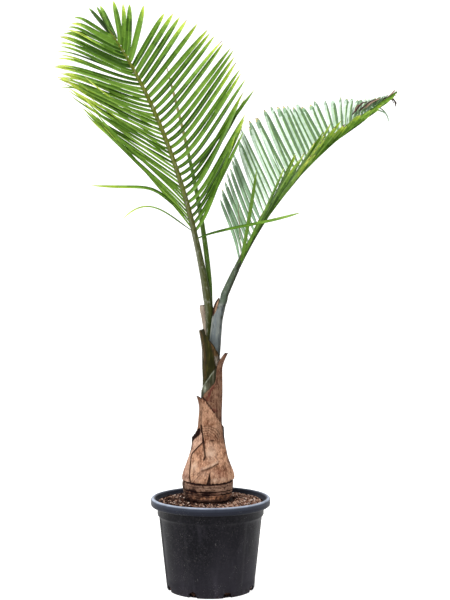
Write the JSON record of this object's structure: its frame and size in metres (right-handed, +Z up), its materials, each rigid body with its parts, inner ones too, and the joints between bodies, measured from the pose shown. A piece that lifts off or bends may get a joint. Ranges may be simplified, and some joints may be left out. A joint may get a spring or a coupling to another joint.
{
  "type": "potted bottle palm",
  "caption": "Young palm in a black nursery pot: soil, a swollen ringed foot wrapped in dry sheaths, a cut stub, an unopened spear leaf and feather fronds arching to both sides.",
  "frame": {"origin": "centre of the pot's flat underside, on the pot's axis", "axes": "+Z up the pot's axis towards the fronds, +X towards the side of the blue-green frond, -Y towards the viewer of the picture"},
  "size_m": [0.9582, 0.4964, 1.7261],
  "materials": {
    "pot_black": "matt black moulded plastic with a faint sheen on the rolled lip",
    "potting_mix": "moist potting mix of dark brown bark chips",
    "ringed_bark": "dull brown bark with stepped ring scars",
    "dry_sheath": "papery dry tan-brown leaf sheath",
    "dry_sheath_upper": "papery dry brown leaf sheath",
    "dry_flap": "papery dry light-brown flap",
    "grey_green_sheath": "dull grey-green leaf sheath",
    "old_olive_sheath": "dull olive-green leaf sheath",
    "pink_tan_stub": "dry pink-tan cut leaf stalk",
    "glaucous_sheath": "waxy blue-grey green stalk",
    "olive_petiole": "waxy olive-brown stalk",
    "spear_green": "smooth green rolled leaf",
    "frond_green": "satin deep-green leaflets",
    "frond_blue_green": "satin blue-green leaflets with a pale bloom"
  },
  "bodies": {
    "root": {"pot": "pot_black", "soil": "potting_mix", "trunk": "ringed_bark", "sheath_lower": "dry_sheath", "sheath_upper": "dry_sheath_upper", "sheath_flap": "dry_flap", "sheath_green": "grey_green_sheath", "sheath_old": "old_olive_sheath", "cut_stub": "pink_tan_stub", "petiole_right": "glaucous_sheath", "petiole_left": "olive_petiole", "spear": "spear_green", "frond_left": "frond_green", "frond_right": "frond_blue_green"}
  },
  "joints": []
}
